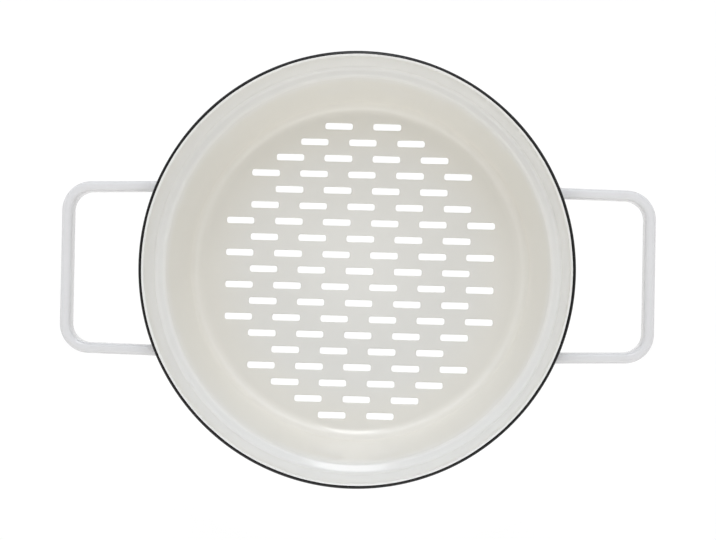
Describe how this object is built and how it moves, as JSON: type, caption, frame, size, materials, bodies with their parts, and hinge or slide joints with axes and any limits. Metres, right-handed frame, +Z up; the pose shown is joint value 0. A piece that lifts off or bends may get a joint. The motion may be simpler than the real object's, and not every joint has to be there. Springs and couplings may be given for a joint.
{
  "type": "steamer insert",
  "caption": "Round enamelled steel steamer insert with a slotted flat floor, a stepped wall whose sloping ledge sits on a pot's rim, a dark turned edge and a bent bar handle on each side.",
  "frame": {"origin": "on the surface that the insert stands on, under the middle of its bounding box, which is on the pan's axis", "axes": "+X runs through both handles, to the right one in the picture, +Y points to the top of the picture, +Z up"},
  "size_m": [0.3434, 0.251, 0.085],
  "materials": {
    "ivory_enamel": "glossy vitreous enamel, ivory, on drawn sheet steel",
    "black_enamel": "glossy vitreous enamel, black, on the turned edge",
    "white_enamel": "glossy vitreous enamel, white, on bent steel bar"
  },
  "bodies": {
    "root": {"pan": "ivory_enamel", "rim_enamel": "black_enamel", "left_handle": "white_enamel", "right_handle": "white_enamel", "left_handle_welds": "white_enamel", "right_handle_welds": "white_enamel"}
  },
  "joints": []
}
